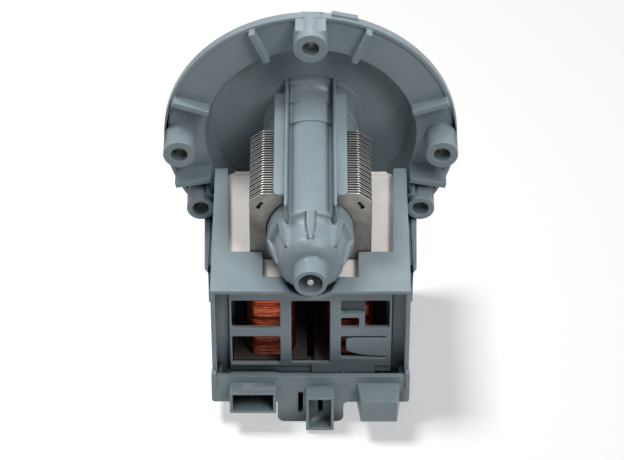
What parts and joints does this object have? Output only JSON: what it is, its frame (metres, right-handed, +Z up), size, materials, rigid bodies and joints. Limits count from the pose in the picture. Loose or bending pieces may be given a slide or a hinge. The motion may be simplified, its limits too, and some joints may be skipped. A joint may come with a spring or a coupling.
{
  "type": "washer drain pump",
  "caption": "Drain pump for a washing machine: flanged rotor housing with a canned rotor, a laminated core with two coils in a vented cover, a plug connector and a vaned impeller.",
  "frame": {"origin": "on the rotor axis, 1.5 mm in front of the flange's flat front face, inside the sealing spigot's length", "axes": "+Y along the rotor axis from the motor to the impeller, +Z up through the top screw boss, +X to the right when seen from the motor side"},
  "size_m": [0.1062, 0.1235, 0.1237],
  "materials": {
    "grey_plastic": "moulded, satin",
    "cream_nylon": "moulded, satin",
    "copper_wire": "enamelled copper wire",
    "core_steel": "punched electrical sheet",
    "bright_steel": "ground stainless",
    "black_rubber": "matte",
    "bronze": "sintered",
    "ferrite": "sintered ferrite",
    "white_resin": "moulded, satin",
    "tinned_brass": "tinned"
  },
  "bodies": {
    "housing": {"rotor_housing": "grey_plastic", "flange_seal": "black_rubber", "bearing_carrier": "grey_plastic", "carrier_seal": "black_rubber", "front_bush": "bronze", "rear_bush": "bronze", "rear_cushion": "black_rubber", "thrust_pin": "bright_steel", "thrust_washer": "white_resin", "core_left": "core_steel", "core_right": "core_steel", "core_yoke": "core_steel", "bobbin_left": "cream_nylon", "bobbin_right": "cream_nylon", "winding_left": "copper_wire", "winding_right": "copper_wire", "coil_turns_left": "copper_wire", "coil_turns_right": "copper_wire", "terminal_left": "tinned_brass", "terminal_right": "tinned_brass", "coil_cover": "grey_plastic", "window_plate": "grey_plastic", "connector_housing": "grey_plastic"},
    "rotor": {"shaft": "bright_steel", "rotor_sleeve": "white_resin", "rotor_magnet": "ferrite", "drive_dog": "white_resin"},
    "impeller": {"impeller": "white_resin", "impeller_cap": "white_resin"}
  },
  "joints": [
    {"name": "rotor_spin", "type": "hinge", "parent": "housing", "child": "rotor", "pos_m": [0, 0, 0], "axis": [0, 1, 0], "continuous": true},
    {"name": "impeller_play", "type": "hinge", "parent": "rotor", "child": "impeller", "pos_m": [0, 0, 0], "axis": [0, 1, 0], "range_deg": [-118, 118]}
  ]
}
